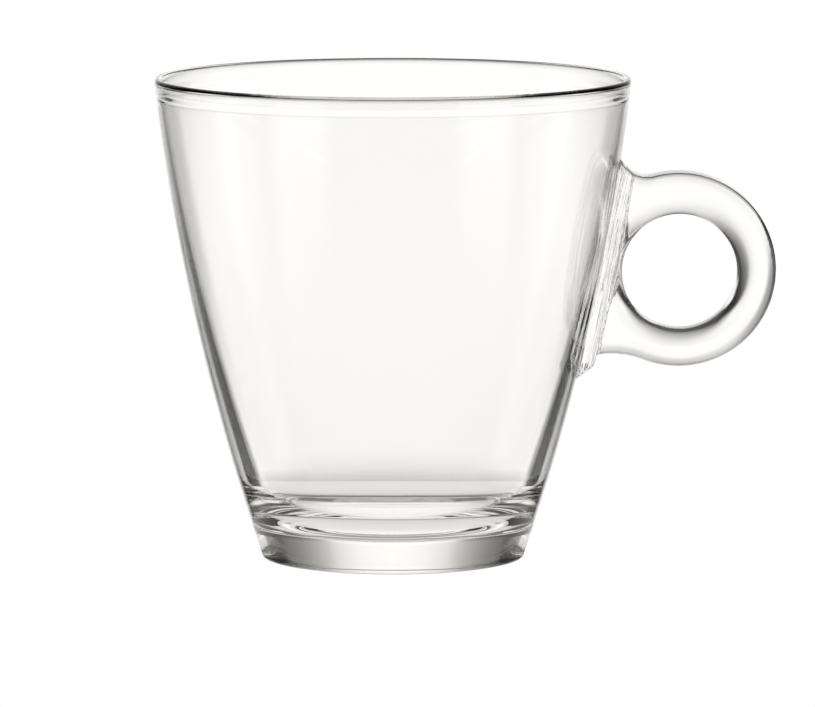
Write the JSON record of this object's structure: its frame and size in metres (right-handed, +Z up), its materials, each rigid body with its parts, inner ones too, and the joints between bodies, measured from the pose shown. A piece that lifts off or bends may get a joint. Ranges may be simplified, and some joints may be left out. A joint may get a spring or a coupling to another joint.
{
  "type": "tea glass",
  "caption": "Clear tapered tea glass on a thick solid base, with a round finger-ring handle welded to its side by a pad.",
  "frame": {"origin": "middle of the flat foot, on the bowl's axis", "axes": "+Z up along the bowl's axis, +X towards the handle"},
  "size_m": [0.1174, 0.09, 0.0912],
  "materials": {
    "bowl_glass": "clear fire-polished soda-lime glass",
    "handle_glass": "clear pressed and fire-polished soda-lime glass"
  },
  "bodies": {
    "root": {"bowl": "bowl_glass", "handle": "handle_glass"}
  },
  "joints": []
}
